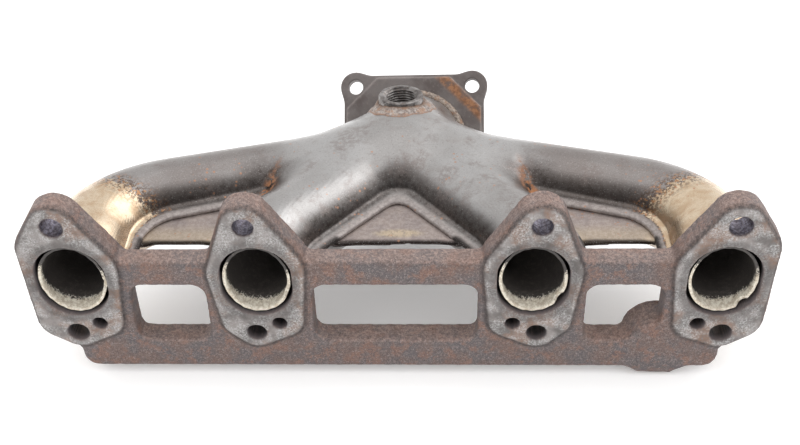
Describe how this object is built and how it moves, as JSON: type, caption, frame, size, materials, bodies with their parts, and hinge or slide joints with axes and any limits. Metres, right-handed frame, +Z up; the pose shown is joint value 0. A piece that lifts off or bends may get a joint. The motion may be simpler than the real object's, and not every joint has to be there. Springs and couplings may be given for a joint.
{
  "type": "exhaust manifold",
  "caption": "Exhaust manifold for a straight-four engine: cast head flange with air gallery, pressed double-wall runners, threaded sensor bung and a tilted square outlet flange.",
  "frame": {"origin": "on the head face, midway between the two middle ports and between the upper and lower stud rows", "axes": "+X along the row of ports, +Y away from the cylinder head, +Z up, towards the sensor bung"},
  "size_m": [0.3552, 0.186, 0.1045],
  "materials": {
    "cast_flange": "rough rusted casting with machined pad faces",
    "shell_sheet": "satin stainless sheet with heat tint, straw to grey brown",
    "liner_sheet": "pale at the mouth, sooted inside",
    "outlet_plate": "heat-darkened stamped plate with orange rust bands",
    "bung_steel": "turned, grey",
    "weld_metal": "rough weld, cream oxide",
    "wire_ring": "knitted wire",
    "plug_steel": "pressed-in steel, dull"
  },
  "bodies": {
    "root": {"head_flange": "cast_flange", "gallery_plug_left": "plug_steel", "gallery_plug_right": "plug_steel", "upper_shell": "shell_sheet", "lower_shell": "shell_sheet", "runner_liner_1": "liner_sheet", "runner_liner_2": "liner_sheet", "runner_liner_3": "liner_sheet", "runner_liner_4": "liner_sheet", "slip_ring_1": "wire_ring", "slip_ring_2": "wire_ring", "slip_ring_3": "wire_ring", "slip_ring_4": "wire_ring", "collector_liner_upper": "liner_sheet", "collector_liner_lower": "liner_sheet", "outlet_flange": "outlet_plate", "outlet_liner": "liner_sheet", "port_weld_1": "weld_metal", "port_weld_2": "weld_metal", "port_weld_3": "weld_metal", "port_weld_4": "weld_metal", "outlet_weld": "weld_metal", "sensor_bung": "bung_steel", "bung_weld": "weld_metal", "seam_weld_left": "weld_metal", "seam_weld_right": "weld_metal"}
  },
  "joints": []
}
